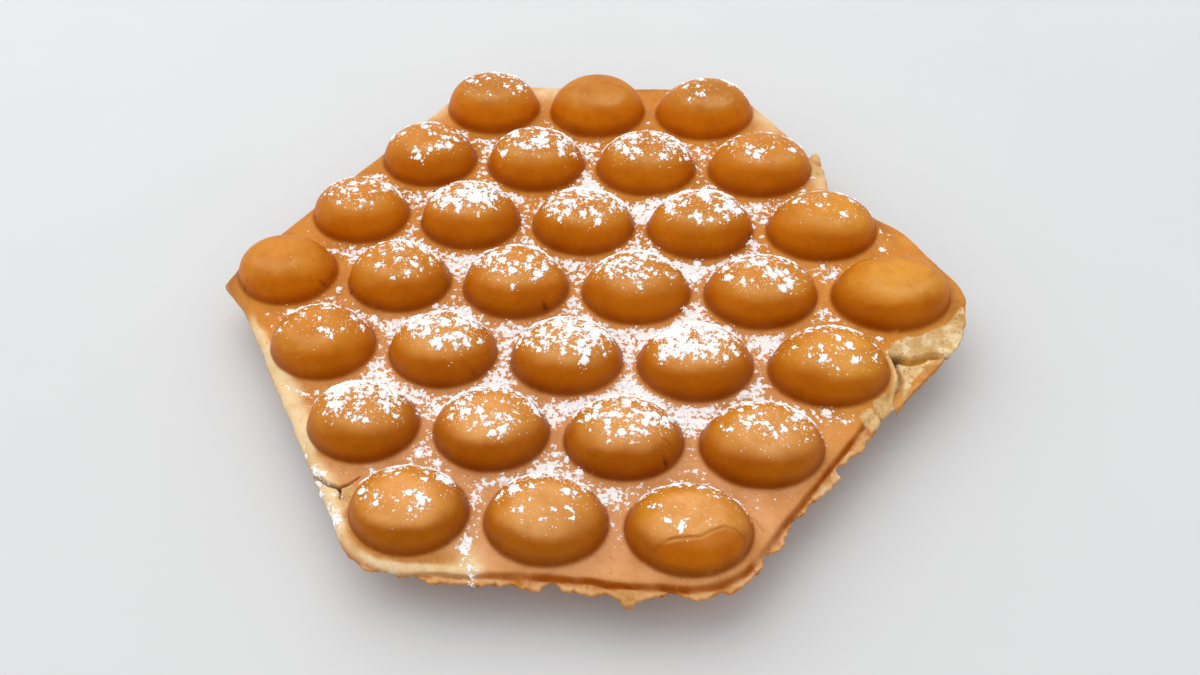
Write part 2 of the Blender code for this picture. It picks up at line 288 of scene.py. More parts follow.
def line_distance(points, line):
    """Distance to an open line, and how far along it the nearest place is, from 0 to 1."""
    line = np.array(line, float)
    near = np.full(len(points), 1e9)
    along = np.zeros(len(points))
    runs = np.concatenate([[0], np.cumsum(np.hypot(*np.diff(line, axis=0).T))])
    for k in range(len(line) - 1):
        span = line[k + 1] - line[k]
        t = np.clip(((points - line[k]) @ span) / (span @ span), 0, 1)
        gap = np.hypot(*(points - line[k] - t[:, None] * span).T)
        closer = gap < near
        near[closer] = gap[closer]
        along[closer] = ((runs[k] + t * (runs[k + 1] - runs[k])) / runs[-1])[closer]
    return near, along


def smooth(low, high, value):
    t = np.clip((value - low) / (high - low), 0, 1)
    return t * t * (3 - 2 * t)


def peak(value, width):
    """Bell curve, 1 where the value is 0."""
    return np.exp(-(value / width) ** 2)


table = dice.uniform(-1, 1, 65536)


def speckle(points, size, seed=0):
    """Smooth random field between about -1 and 1, with features of the given size."""
    p = np.asarray(points) / size + 31.7 * seed
    if p.shape[1] == 2:
        p = np.hstack([p, np.full((len(p), 1), 0.37 * seed)])
    cell = np.floor(p).astype(np.int64)
    part = p - cell
    part = part * part * (3 - 2 * part)
    total = np.zeros(len(p))
    for dx in (0, 1):
        for dy in (0, 1):
            for dz in (0, 1):
                corner = cell + (dx, dy, dz)
                key = (corner[:, 0] * 73856093) ^ (corner[:, 1] * 19349663) ^ (corner[:, 2] * 83492791)
                wx, wy, wz = np.where((dx, dy, dz), part, 1 - part).T
                total += table[(key + seed * 1013) & 65535] * wx * wy * wz
    return total


def layered(points, size, seed=0, layers=3):
    total = 0.0
    weight = 1.0
    for k in range(layers):
        total = total + weight * speckle(points, size * 0.5 ** k, seed + 7 * k)
        weight *= 0.55
    return total


def spot(x, y, cx, cy, rx, ry, turn=0.0):
    """Soft oval patch, 1 in its middle."""
    c, s = math.cos(math.radians(turn)), math.sin(math.radians(turn))
    dx, dy = x - cx, y - cy
    u = (dx * c + dy * s) / rx
    v = (-dx * s + dy * c) / ry
    return np.exp(-(u * u + v * v))


# Bubbles: their places, and the small differences between them

PLACES = list(lattice())
CX, CY = np.array([bubble_centre(u, v) for u, v in PLACES]).T
AX, BY = np.array([bubble_size(u) for u, v in PLACES]).T
COUNT = len(PLACES)
HEIGHT = (BUBBLE_RISE + SHEET_HALF) * (1 + dice.uniform(-0.03, 0.02, COUNT))
POWER = BUBBLE_POWER + dice.uniform(-0.15, 0.2, COUNT)
LEAN_X = dice.uniform(-0.5, 0.5, COUNT)
LEAN_Y = dice.uniform(-0.4, 0.4, COUNT)
EGG = dice.uniform(-0.03, 0.03, COUNT)
JOIN = 0.982
FOOT_START = 0.97
ROW_START = np.concatenate([[0], np.cumsum(ROW_COUNTS)[:-1]])


def on_bubble_line(row, place, line):
    k = ROW_START[row] + place
    return [(CX[k] + AX[k] * dx, CY[k] + BY[k] * dy) for dx, dy in line]


def ragged_part(x, y):
    """Where the thin fin shows: along the front edge and the front right edge."""
    front = smooth(-58, -42, x) * smooth(-84, -88, y)
    right = smooth(50, 60, x) * smooth(-32, -40, y) * smooth(-98, -88, y + 0 * x)
    return np.clip(front + right, 0, 1)


def weathered(loop, seed):
    """The outline with small bites and crumbs, larger where the fin is ragged."""
    x, y = loop.T
    bite = smooth(0.1, 0.5, speckle(loop, 5.0, seed)) * 1.5
    waves = ((0.6, 7.0, 1), (0.5, 2.6, 2), (0.4, 1.1, 3))
    wave = sum(height * speckle(loop, size, seed + k) for height, size, k in waves)
    strength = 0.72 * ragged_part(x, y) * (1 + 0.5 * smooth(50, 62, x))
    strength = 0.16 + strength * (1 - 0.7 * spot(x, y, 22, -95, 8, 9))
    drip = 1.9 * spot(x, y, 21.6, -96, 3.6, 6)
    return inset(loop, strength * (bite - 1.1 * wave) - drip)


def lump_outline(x, y, a, b, seed):
    turn = np.linspace(0, 2 * math.pi, max(12, int((a + b) * 3.2 / EDGE_STEP)), endpoint=False)
    loop = np.stack([x + a * np.cos(turn), y + b * np.sin(turn)], 1)
    return inset(loop, 0.30 * layered(loop, 1.6, seed, 2))


def pulled(loop, amount):
    """The outline drawn out to a point at the left-hand tip."""
    x, y = loop.T
    pull = amount * np.exp(-(np.abs(y + 3.6) / np.where(y > -3.6, 2.6, 6.0)) ** 1.4) * smooth(-88, -95, x)
    return loop + np.outer(pull, (-0.98, -0.20))


EDGE_STEP = 0.42
sheet_edge = even_spacing(edge_outline(SHEET_MARGINS, (0.1,) * 6, 1.0), 0.8)
sheet_edge = inset(sheet_edge, 0.25 * layered(sheet_edge, 7.0, 61, 2))
sheet_edge = pulled(sheet_edge, 2.2)
fin_edge = weathered(even_spacing(edge_outline(FIN_MARGINS, RAGGEDNESS, 0.45), EDGE_STEP), 62)
fin_edge = pulled(fin_edge, 2.8)
skin_loop = even_spacing(np.array(RIDGE[::-1] + ((90.5, -18.0), (97.0, -17.0)) + SKIN_EDGE), EDGE_STEP)
skin_loop = inset(skin_loop, -0.25 * layered(skin_loop, 1.8, 63, 2))
lip_loop = np.array(((88.0, -10.0), (100.0, -2.0), (109.0, -2.0)) + SLOPE_FOOT[:0:-1])
lip_loop = even_spacing(lip_loop, EDGE_STEP)
lip_loop = inset(lip_loop, 0.30 * layered(lip_loop, 1.8, 64, 2))
BORDERS = [fin_edge, skin_loop[::-1], lip_loop[::-1]]
for number, (x, y, _, a, b, _) in enumerate(LUMPS[TIP_LUMPS:]):
    BORDERS.append(lump_outline(x, y, a * 0.97, b * 0.97, 65 + number))


def counter_clockwise(loop):
    x, y = loop.T
    return loop if (x * np.roll(y, -1) - np.roll(x, -1) * y).sum() > 0 else loop[::-1]


BORDERS = [counter_clockwise(loop) for loop in BORDERS]


def border_distance(p):
    """Distance to the outer edge of the whole piece, positive inside."""
    depth = edge_distance(p, BORDERS[0])
    for loop in BORDERS[1:]:
        low, high = loop.min(0) - 1.0, loop.max(0) + 1.0
        near = ((p > low) & (p < high)).all(1)
        depth[near] = np.maximum(depth[near], edge_distance(p[near], loop))
    return depth


def nearest_bubble(x, y):
    """Index of the bubble whose oval is nearest, and how far out the point is, 1 at its foot."""
    best = np.full(len(x), 1e9)
    index = np.zeros(len(x), int)
    for k in range(COUNT):
        dx = (x - CX[k]) / AX[k]
        dy = (y - CY[k]) / BY[k]
        dx = dx * (1 + EGG[k] * dy)
        r = np.sqrt(dx * dx + dy * dy)
        closer = r < best
        best[closer] = r[closer]
        index[closer] = k
    return index, best


def roll_radius(x, y):
    """How far the sheet's rounding reaches inwards: a fat lip at the front left, crisp elsewhere."""
    left = smooth(-15, -60, x) * smooth(12, -25, y)
    back = smooth(70, 88, y)
    return 0.7 + 1.5 * left + 0.6 * back + 0.5 * smooth(-60, -90, x) * smooth(-10, 25, y)


def sheet_height(p, s, f, upper):
    """Height of the sheet, its rounded edge, the crease and the fin beyond it."""
    x, y = p.T
    shown = ragged_part(x, y)
    roll = roll_radius(x, y) + (0.8 if upper else 3.6) * shown
    fin = FIN_HALF * (0.75 + 0.75 * smooth(0.3, 2.4, f) if upper else 0.3 + 0.7 * smooth(0.4, 3.0, f))
    fin = fin * (1 + 0.22 * layered(p, 2.4, 3, 3) * smooth(1.2, -0.4, s))
    if upper:
        fin = fin - 0.6 * shown * peak(s + 0.25, 0.5) * smooth(0.4, 1.2, f)
    sheet = fin + (SHEET_HALF - fin) * np.sin(0.5 * math.pi * np.clip(s / roll, 0, 1)) ** 0.85
    lumpy = 0.16 * layered(p, 9.0, 5 if upper else 15, 3) * smooth(0, 2.5, s)
    return sheet + lumpy


def torn_tip(p, z, kinds):
    """The open split at the right-hand tip, on the upper face: crumb slope, gap and lower skin."""
    top, _ = line_distance(p, SLOPE_TOP)
    foot, _ = line_distance(p, SLOPE_FOOT)
    ridge, _ = line_distance(p, RIDGE)
    inner, _ = line_distance(p, INNER_RIDGE)
    crevice, _ = line_distance(p, CREVICE)
    crumb = layered(p, 1.5, 81, 3)
    down = top / (top + foot + 1e-6)
    slope = smooth(-0.3, 0.4, edge_distance(p, np.array(SLOPE_TOP + SLOPE_FOOT[::-1])) + 0.25 * crumb)
    z = z + slope * (SHEET_HALF - 1.9 * down ** 1.5 + 0.42 * crumb * smooth(0.02, 0.2, down) - z)
    open_loop = np.array(RIDGE[::-1] + ((90.5, -18.0), (97.0, -17.0)) + SKIN_BEYOND)
    opened = smooth(-0.35, 0.45, edge_distance(p, open_loop) + 0.28 * crumb) * (1 - slope)
    skin = SKIN_TOP + 0.26 * crumb + 0.8 * peak(inner, 0.7) - 0.8 * peak(crevice, 0.55)
    middle, across = line_distance(p, GAP)
    gap = np.exp(-(middle / (1.35 - 0.75 * across)) ** 4)
    skin = skin - 1.1 * gap
    z = z + opened * (skin - z)
    side = peak(ridge, 1.2) * (1 - slope)
    z = z + side * (1 - opened) * 0.5 * crumb
    kinds["crumb"] = np.maximum(kinds["crumb"], np.clip(slope + opened + 1.3 * side, 0, 1))
    # Painted shade: dark in the gap under the torn skin and in the crevice
    kinds["gap"] = np.clip(gap * opened + 0.5 * peak(crevice, 0.6) * opened, 0, 1)
    strip = edge_distance(p, np.array(STRIP + SKIN_BEYOND[::-1]))
    kinds["strip"] = smooth(-0.4, 0.4, strip + 0.3 * crumb) * opened
    return z


def surface_height(x, y, upper):
    """Height over the middle plane, and what the colours need to know."""
    p = np.stack([x, y], 1)
    index, rho = nearest_bubble(x, y)
    s = np.full(len(x), 9.0)
    near = edge_distance(p, sheet_edge[::16]) < 10
    s[near] = edge_distance(p[near], sheet_edge)
    f = np.full(len(x), 9.0)
    near = s < 5
    f[near] = border_distance(p[near])
    kinds = {name: np.zeros(len(x)) for name in ("crumb", "gap", "strip", "crack", "fold", "pit", "lump")}
    web = sheet_height(p, s, f, upper)
    for number, (cx, cy, cz, a, b, c) in enumerate(LUMPS):
        near = np.nonzero((abs(x - cx) < a) & (abs(y - cy) < b))[0]
        if upper and number < TIP_LUMPS:
            continue
        r = ((x[near] - cx) / a) ** 2 + ((y[near] - cy) / b) ** 2
        body = c * np.sqrt(np.clip(1 - r, 0, 1)) * (1 + 0.32 * layered(p[near], 1.5, 85 + number, 3))
        body = (cz if upper else -cz) + body
        web[near] = np.where(r < 1, np.maximum(web[near], body), web[near])
        lump = smooth(1.15, 0.7, r) * smooth(1.02, 1.05, rho[near])
        kinds["lump"][near] = np.maximum(kinds["lump"][near], lump)
    away = (rho - 1.0) * (AX[index] + BY[index]) / 2
    web = web + 0.7 * np.exp(-np.clip(away, -0.3, None) / 0.5)
    power = POWER[index]
    inside = np.clip(rho, 0, FOOT_START)
    left_over = 1 - inside ** power
    ball = left_over ** (1 / power) - (rho - inside) * left_over ** (1 / power - 1) * inside ** (power - 1)
    ball = HEIGHT[index] * np.clip(ball, -1, None)
    dx = (x - CX[index]) / AX[index]
    dy = (y - CY[index]) / BY[index]
    ball = ball + (LEAN_X[index] * dx + LEAN_Y[index] * dy) * (1 - inside ** 2)
    ball = ball + 0.22 * layered(p, 8.5, 21 if upper else 27, 2) * smooth(1.0, 0.8, inside)
    if upper:
        for row, place, line, width, depth, stain in FOLDS:
            far, along = line_distance(p, on_bubble_line(row, place, line))
            ends = smooth(0, 0.12, along) * smooth(1, 0.88, along)
            mark = peak(far, width) * ends
            ball = ball - depth * mark + 0.6 * depth * peak(far, 4 * width) * ends
            kinds["fold"] = np.maximum(kinds["fold"], mark * stain)
        for row, place, u, v, a, b, depth in PITS:
            k = ROW_START[row] + place
            mark = spot(x, y, CX[k] + AX[k] * u, CY[k] + BY[k] * v, a, b, 30 * u)
            ball = ball - depth * mark
            kinds["pit"] = np.maximum(kinds["pit"], mark * min(1.0, depth / 0.6))
        shaken = p + 0.25 * np.stack([speckle(p, 1.4, 77), speckle(p, 1.4, 78)], 1)
        for line, width, end_width, depth in CRACKS:
            far, along = line_distance(shaken, line)
            mark = peak(far, width + (end_width - width) * along)
            web = web - depth * mark
            kinds["crack"] = np.maximum(kinds["crack"], mark * min(1.0, depth / 1.3))
    meeting = np.clip(0.7 - np.abs(ball - web), 0, None)
    z = np.maximum(ball, web) + meeting ** 2 / 2.8
    if upper:
        near = np.nonzero((x > 82) & (y > -45) & (y < 2) & (rho > 1.0))[0]
        local = {name: values[near] for name, values in kinds.items()}
        z[near] = torn_tip(p[near], z[near], local)
        for name, values in local.items():
            kinds[name][near] = values
    level = SKIN_MIDDLE * smooth(1.6, 0.4, line_distance(p, SKIN_EDGE)[0]) * smooth(-16.6, -18.6, y)
    edge = np.sqrt(np.clip(1 - (1 - np.clip(f / 0.7, 0, 1)) ** 2, 0, 1))
    centre = level if upper else -level
    z = centre + (z - centre) * edge
    return z, {"index": index, "rho": rho, "s": s, "f": f, "dy": dy, "level": level, **kinds}


# Crust mesh

def near_line(line, reach, step):
    """A fine net of points along a line."""
    line = np.array(line, float)
    low, high = line.min(0) - reach, line.max(0) + reach
    x, y = np.meshgrid(np.arange(low[0], high[0], step), np.arange(low[1], high[1], step))
    net = np.stack([x.ravel(), y.ravel()], 1)
    net += dice.uniform(-0.2, 0.2, net.shape) * step
    return net[line_distance(net, line)[0] < reach]


def fine_points():
    """Points for what is smaller than the net: folds, pits, cracks, crumb and lumps."""
    sets = []
    for row, place, line, width, _, _ in FOLDS:
        if width < 0.6:
            sets.append(near_line(on_bubble_line(row, place, line), 3 * width, 0.27))
    sets += [near_line(line, 1.3, 0.25) for line, _, _, _ in CRACKS]
    sets += [near_line(SLOPE_FOOT, 6.5, 0.38), near_line(SLOPE_TOP, 1.2, 0.4), near_line(RIDGE, 2.4, 0.36)]
    sets += [near_line(STRIP, 3.0, 0.40)]
    away = nearest_bubble(*np.vstack(sets).T)[1]
    sets = [np.vstack(sets)[(away < 0.93) | (away > 1.05)]]
    for row, place, u, v, a, b, _ in PITS:
        (x, y), = on_bubble_line(row, place, ((u, v),))
        sets.append(near_line(((x - 0.1, y), (x + 0.1, y)), 1.9, 0.27))
    for x, y, _, a, b, _ in LUMPS[TIP_LUMPS:]:
        sets.append(near_line(((x, y - 0.4 * b), (x, y + 0.4 * b)), a, 0.42))
    return np.vstack(sets)


def ring(k, rho, count, turned=0.0):
    """Points round bubble k, at rho times its half sizes."""
    turn = 2 * math.pi * (np.arange(count) + turned) / count
    return np.stack([CX[k] + rho * AX[k] * np.cos(turn), CY[k] + rho * BY[k] * np.sin(turn)], 1)


# Box that the even net fills, past the outline all round: x from and to, y from and to
NET_BOX = (-112, 114, -104.0, 100)


def face_points(ring_count, segments, web_step, fine):
    """Plan points of one face: rings on the bubbles, rows along the edges and an even net between."""
    rings = []
    for k in range(COUNT):
        for i in range(ring_count + 1):
            rho = JOIN * math.sin(0.5 * math.pi * (i / ring_count) ** 0.9)
            n = segments if rho > 0.85 else max(1 if i == 0 else 8, round(segments * rho))
            rings.append(ring(k, rho, n, 0.5 * (i % 2) * (rho <= 0.85)))
        for away in (0.14, 0.28, 0.45, 0.7, 1.1):
            rings.append(ring(k, JOIN + away / ((AX[k] + BY[k]) / 2), segments))
    rings = np.vstack(rings)
    net = []
    row = 0
    x_low, x_high, y, y_high = NET_BOX
    while y < y_high:
        x = np.arange(x_low, x_high, web_step) + (0.5 * web_step if row % 2 else 0)
        net.append(np.stack([x, np.full(len(x), y)], 1))
        y += web_step * 0.866
        row += 1
    net = np.vstack(net)
    net += dice.uniform(-0.12, 0.12, net.shape) * web_step
    net = net[nearest_bubble(*net.T)[1] > 1.09]
    roll = roll_radius(*sheet_edge.T) + 0.8 * ragged_part(*sheet_edge.T)
    rows = [inset(sheet_edge, roll * part) for part in (0.0, 0.15, 0.35, 0.65, 1.0)]
    rows += [inset(sheet_edge, np.full(len(sheet_edge), away)) for away in (-0.7, -0.45, -0.2, 2.4)]
    rows = np.vstack(rows)
    rows = rows[nearest_bubble(*rows.T)[1] > 1.085]
    fins = np.vstack([inset(loop, np.full(len(loop), away)) for loop in BORDERS for away in (0.14, 0.4, 0.8)])
    fins = fins[nearest_bubble(*fins.T)[1] > 1.03]
    others = [fine_points()] if fine else []
    others = np.vstack(others + [rings, net, rows, fins])
    depth = edge_distance(others, sheet_edge[::16])
    near = np.nonzero(depth < 6)[0]
    outside = near[border_distance(others[near]) < 0.11]
    others = np.delete(others, outside, 0)
    taken = set()
    kept = []
    size = 0.16
    for p in others:
        key = (int(p[0] // size), int(p[1] // size))
        if key not in taken:
            taken.add(key)
            kept.append(p)
    return np.array(kept)


def triangulated(points):
    """Triangles inside the joined borders, and which points lie on the outer edge."""
    loops = []
    count = 0
    for loop in BORDERS:
        loops.append(list(range(count, count + len(loop))))
        count += len(loop)
    coords = np.vstack(BORDERS + [points])
    found = delaunay_2d_cdt([Vector(p) for p in coords], [], loops, 1, 1e-5, False)
    coords = np.array([tuple(v) for v in found[0]])
    faces = np.array([f for f in found[2] if len(f) == 3])
    centres = coords[faces].mean(1)
    near = np.nonzero(edge_distance(centres, sheet_edge[::16]) < 3)[0]
    faces = np.delete(faces, near[border_distance(centres[near]) < 0], 0)
    sides = np.sort(np.vstack([faces[:, [0, 1]], faces[:, [1, 2]], faces[:, [2, 0]]]), 1)
    sides, uses = np.unique(sides, axis=0, return_counts=True)
    edge = np.zeros(len(coords), bool)
    edge[sides[uses == 1].ravel()] = True
    used = np.unique(faces)
    remap = np.full(len(coords), -1)
    remap[used] = np.arange(len(used))
    return coords[used], remap[faces], edge[used]


def crust_arrays():
    """Plan points, heights, what the colours need to know, and faces of both sides joined at the edge."""
    # Rings on a bubble, points of a ring, spacing between the bubbles, and whether fine points are added
    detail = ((25, 72, 1.4, True))
    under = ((14, 38, 2.3, False))
    parts = []
    for upper, numbers in ((True, detail), (False, under)):
        coords, faces, edge = triangulated(face_points(*numbers))
        z, rest = surface_height(coords[:, 0], coords[:, 1], upper)
        z[edge] = rest["level"][edge] if upper else -rest["level"][edge]
        parts.append((coords, faces, z, rest, edge))
    (c0, f0, z0, r0, e0), (c1, f1, z1, r1, e1) = parts
    place_of_edge = {(round(x, 3), round(y, 3)): i for i, (x, y) in zip(np.nonzero(e0)[0], c0[e0])}
    remap = np.empty(len(c1), int)
    extra = []
    for i in range(len(c1)):
        key = (round(c1[i, 0], 3), round(c1[i, 1], 3))
        if e1[i] and key in place_of_edge:
            remap[i] = place_of_edge[key]
        else:
            remap[i] = len(c0) + len(extra)
            extra.append(i)
    extra = np.array(extra)
    xy = np.vstack([c0, c1[extra]])
    z = np.concatenate([z0, -z1[extra]])
    rest = {key: np.concatenate([r0[key], r1[key][extra]]) for key in r0}
    rest["upper"] = np.concatenate([np.ones(len(c0)), np.zeros(len(extra))])
    faces = np.vstack([f0, remap[f1][:, ::-1]])
    return xy, z, rest, faces


def to_world(xy, z):
    """Points in the shared frame in metres; the lowest bubbles are pressed flat where they rest."""
    height = z + curl(xy[:, 0], xy[:, 1]) + LIFT
    near = np.clip(0.4 - np.abs(height - 0.02), 0, None)
    height = np.maximum(height, 0.02) + near ** 2 / 1.6
    return np.stack([xy[:, 0] - MIDDLE[0], xy[:, 1] - MIDDLE[1], height], 1) * MM


def mesh_object(name, points, faces, smooth_faces=True):
    mesh = bpy.data.meshes.new(name)
    mesh.vertices.add(len(points))
    mesh.vertices.foreach_set("co", np.asarray(points, np.float32).ravel())
    faces = np.asarray(faces, np.int32)
    mesh.loops.add(faces.size)
    mesh.loops.foreach_set("vertex_index", faces.ravel())
    mesh.polygons.add(len(faces))
    mesh.polygons.foreach_set("loop_start", np.arange(0, faces.size, faces.shape[1], dtype=np.int32))
    mesh.polygons.foreach_set("loop_total", np.full(len(faces), faces.shape[1], np.int32))
    mesh.update(calc_edges=True)
    mesh.validate()
    if smooth_faces:
        mesh.shade_smooth()
    piece = bpy.data.objects.new(name, mesh)
    bpy.context.scene.collection.objects.link(piece)
    return piece


def add_field(mesh, name, values):
    values = np.asarray(values, np.float32)
    if values.ndim == 1:
        mesh.attributes.new(name, "FLOAT", "POINT").data.foreach_set("value", values)
    else:
        values = np.hstack([values, np.ones((len(values), 1), np.float32)])
        mesh.attributes.new(name, "FLOAT_COLOR", "POINT").data.foreach_set("color", values.ravel())


# Sugar on each bubble, back row to front row, from none to thick
SUGAR_ROWS = (
    (0.35, 0.02, 0.18),
    (0.45, 0.75, 0.60, 0.35),
    (0.45, 0.85, 0.75, 0.85, 0.30),
    (0.02, 0.55, 0.50, 0.75, 0.65, 0.03),
    (0.35, 0.60, 0.75, 1.00, 0.28),
    (0.75, 0.65, 0.62, 0.45),
    (0.28, 0.26, 0.20),
)
SUGAR = np.array([value for row in SUGAR_ROWS for value in row])
FALL = np.array((0.02, 0.32, 0.947))
# Streak of sugar across the front rim, and the dusting round the crack
STREAK = ((-18.8, -86.5), (-17.4, -91.5), (-15.4, -98.0))
NEAR_CRACK = ((-66.0, -64.0), (-58.0, -74.0), (-54.0, -82.0))
# Sugar in the hollows between the front bubbles
HOLLOWS = (
    ((-17.5, -63.0), (-19.0, -72.0), (-17.6, -79.0), (-18.8, -87.0)),
    ((17.2, -63.0), (17.6, -74.0), (17.8, -83.0)),
)

# Colours of crust and crumb, linear: at the front, at the back and at the right-hand tip. The bubble tops'
# pale peach, strongest at the front, is partly a painted sheen
TOPS_AND_SHEEN = ((0.72, 0.335, 0.105), (0.56, 0.205, 0.027), (0.67, 0.285, 0.038))
WEBS = ((0.68, 0.325, 0.140), (0.60, 0.230, 0.034), (0.70, 0.290, 0.050))
# Bubble walls and foot: browned crust, painted darker as shade, darkest on the fronts of the bubbles
WALL_BROWN_AND_SHADE = np.array((0.47, 0.122, 0.0006))
FOOT_BROWN_AND_SHADE = np.array((0.25, 0.050, 0.0006))
# Painted highlight at the front shoulder of a bubble
SHOULDER_HIGHLIGHT = (0.80, 0.44, 0.19)
# Painted shade on the sides of a bubble, more on those facing left
FLANK_SHADE = (0.56, 0.200, 0.008)
RIM = (0.54, 0.215, 0.042)
CREAM = (0.84, 0.62, 0.36)
TAN = (0.72, 0.40, 0.18)
# Crease between the sheet and the fin: browned, with painted shade in its groove
GROOVE_BROWN_AND_SHADE = (0.34, 0.075, 0.0005)
DRIP = (0.50, 0.25, 0.075)
CRUMB = (0.72, 0.49, 0.23)
PASTE = (0.86, 0.69, 0.42)
BROWN = (0.38, 0.120, 0.013)
# Painted shade in the split's gap and crevice, in the pits and in the cracks
HOLLOW_SHADE = np.array((0.09, 0.026, 0.003))
GOLD = np.array((0.55, 0.27, 0.035))


# Pale and dark patches along the rim: place, half sizes and turn
RIM_PATCHES = (
    (CREAM, ((-18, 89, 8, 4.2, 0), (55.5, 77, 8, 4.4, -55), (-54, 77, 8, 3.4, 57), (44, 88, 5, 3.0, -20),
             (71.5, 50, 7, 3.6, -80))),
    (np.array(RIM) * 0.75, ((16, 91.5, 5, 1.8, 0), (-103, 0, 4, 9, 0), (84, 34, 14, 2.0, -58),
                            (104, 2, 3, 12, 10))),
)


def sugar_field(x, y):
    """Sugar that fell on the sheet around a place: thick in the middle, little near the rim."""
    total = np.zeros(len(x))
    weight = np.zeros(len(x)) + 1e-6
    for k in range(COUNT):
        w = np.exp(-(((x - CX[k]) / 17.0) ** 2 + ((y - CY[k]) / 15.0) ** 2))
        total += w * SUGAR[k]
        weight += w
    middle = smooth(0.98, 0.62, np.hypot((x - 2) / 108, (y - 4) / 99))
    return (0.12 + 0.70 * total / weight) * middle


def sugar_dust(xy, rest, normals, world, tree):
    """How thick the sugar lies: on what faces up and back, and not in the lee in front of a bubble."""
    x, y = xy.T
    rho, s, index = rest["rho"], rest["s"], rest["index"]
    facing = normals @ FALL
    field = sugar_field(x, y)
    lee = np.ones(len(x))
    slants = [Vector((0.02, slant, 1)).normalized() for slant in (0.22, 0.36, 0.5, 0.68)]
    for i in np.nonzero((rest["upper"] > 0.5) & (facing > 0.3))[0]:
        origin = Vector(world[i]) + Vector(normals[i]) * 0.0004
        lee[i] = np.mean([tree.ray_cast(origin, slant, 0.04)[0] is None for slant in slants])
    on_bubble = smooth(1.03, 0.97, rho)
    own = SUGAR[index]
    back = np.sqrt(own) * smooth(0.1, 0.55, rest["dy"]) * smooth(0.10, 0.30, 1 - normals[:, 2])
    dust = 0.78 * smooth(0.52, 0.97, facing) * own ** 1.1 + 0.6 * back * (own > 0.1)
    dust = np.clip(dust, 0, 1) * on_bubble
    hollow = smooth(0.55, 0.9, facing) * field * (1 - on_bubble) * (0.75 + 0.9 * smooth(1.04, 1.22, rho))
    hollow += 0.6 * peak(rho - 1.045, 0.04) * smooth(0.1, 0.7, rest["dy"]) \
        * np.clip(0.4 * field + own * smooth(-92, -72, x), 0, 1)
    hollow *= smooth(0.3, 4.0, s)
    hollow += 0.9 * peak(line_distance(xy, STREAK)[0], 1.5) * smooth(0.98, 1.06, rho)
    hollow += 0.75 * peak(line_distance(xy, NEAR_CRACK)[0], 3.0) * smooth(0.97, 1.02, rho)
    for line in HOLLOWS:
        hollow += 0.42 * peak(line_distance(xy, line)[0], 1.8) * smooth(0.98, 1.04, rho)
    dust = (dust + hollow) * lee ** 1.5 * rest["upper"]
    return np.clip(dust * (0.85 + 0.5 * layered(xy, 6.0, 51, 3)), 0, 1)


def blend(colour, *layers):
    """The colour with each layer's tone laid over it, by an amount from 0 to 1 at each point."""
    for tone, amount in layers:
        colour = colour + (np.asarray(tone) - colour) * np.clip(amount, 0, 1)[:, None]
    return colour


def regional(x, y, tones, start, left):
    """Tones of the front, the back and the right-hand tip, run together over the waffle."""
    front, back, right = (np.array(tone) for tone in tones)
    return blend(np.repeat(back[None], len(x), 0),
                 (front, smooth(start, -82, y) * smooth(left, left + 50, x)),
                 (right, smooth(45, 85, x) * smooth(-66, -36, y) * smooth(70, 35, y)))


def bubble_colour(xy, rest, normals):
    """Pale tops with a painted sheen and a painted highlight at the front shoulder, painted shade on the
    flanks, browned walls painted darker as shade, darkest in front, and a brown foot painted darker in the
    same way.
    """
    rho, index = rest["rho"], rest["index"]
    steep = 1 - np.abs(normals[:, 2])
    level = np.hypot(normals[:, 0], normals[:, 1]) + 0.02
    ahead = np.clip(-normals[:, 1] / level, 0, 1)
    # Painted shade on the flanks, less on the sides that face right
    aside = (1 - ahead) ** 0.7 * (1 - 0.3 * smooth(0, 0.3, normals[:, 0]))
    last_row = smooth(45, 75, CY[index])
    shade = 1 + 0.05 * np.sin(2.4 * index) + 0.12 * smooth(-40, -75, CX[index]) - 0.11 * last_row
    # Painted light: less wall colour on the left-facing sides of the left-hand bubbles
    lit = smooth(-0.1, -0.7, normals[:, 0] / level) * smooth(-30, -80, CX[index])
    depth = steep + 0.05 * layered(xy, 7.0, 31, 2) - (0.08 + 0.03 * ahead)
    depth = smooth(0, 1, depth / (0.50 - 0.31 * ahead + 0.35 * lit))
    # How deep the painted wall shade is: deeper towards the front rows, lighter at the left and in the back
    # row
    deep = 1.04 - 0.20 * smooth(20, -75, CY[index]) + 0.14 * smooth(-50, -80, CX[index]) + 0.16 * last_row
    flow = smooth(-0.3, 1.2, edge_distance(xy, np.array(on_bubble_line(6, 2, FLOW))))
    return blend(regional(*xy.T, TOPS_AND_SHEEN, 25, -72) * shade[:, None],
                 (FLANK_SHADE, 0.95 * smooth(0.0, 0.11, steep) * aside),
                 (SHOULDER_HIGHLIGHT, 0.35 * peak(steep - 0.08, 0.05) * ahead),
                 (WALL_BROWN_AND_SHADE * deep[:, None], (0.86 + 0.14 * ahead) * depth),
                 (WALL_BROWN_AND_SHADE * 1.12, 0.72 * flow),
                 (FOOT_BROWN_AND_SHADE * deep[:, None], (0.5 + 0.35 * ahead) * smooth(0.90, 1.0, rho)))


